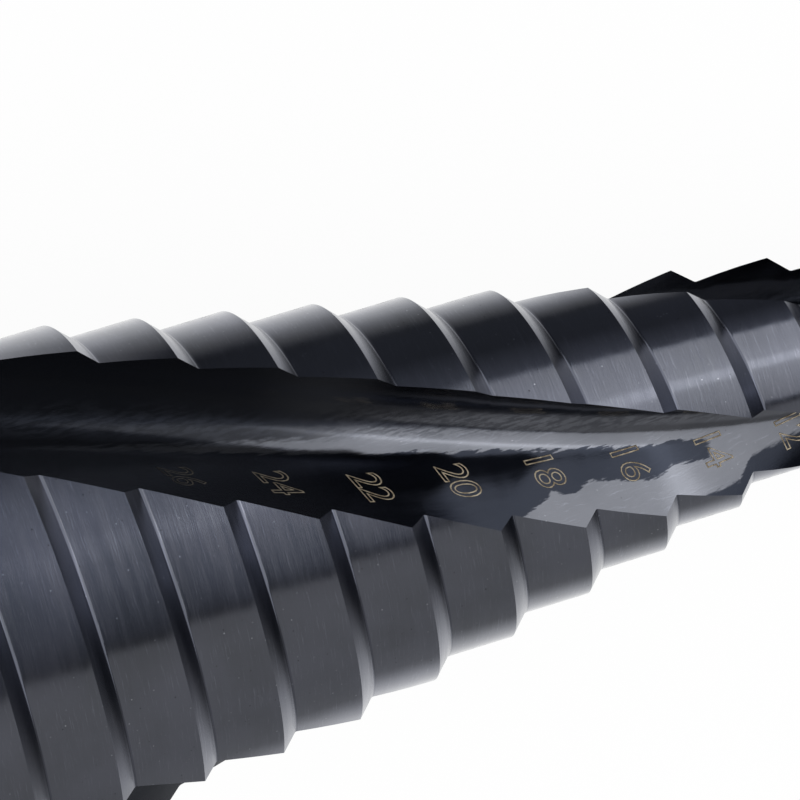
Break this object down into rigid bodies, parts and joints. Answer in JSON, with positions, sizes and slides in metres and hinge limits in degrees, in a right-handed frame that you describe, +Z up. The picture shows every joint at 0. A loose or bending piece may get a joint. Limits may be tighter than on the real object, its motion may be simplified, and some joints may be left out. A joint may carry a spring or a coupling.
{
  "type": "step drill",
  "caption": "Cone-shaped step drill bit with three spiral flutes and a round shank with flats for a drill chuck.",
  "frame": {"origin": "centre of the bounding box at the height of the surface that the drill lies on", "axes": "+Z up; +X along the drill as it lies, from the shank to the tip"},
  "size_m": [0.1002, 0.0312, 0.0318],
  "materials": {
    "coated_steel": "ground high speed steel with a dark grey-black coating, satin to semi-gloss"
  },
  "bodies": {
    "root": {"step_drill": "coated_steel"}
  },
  "joints": []
}
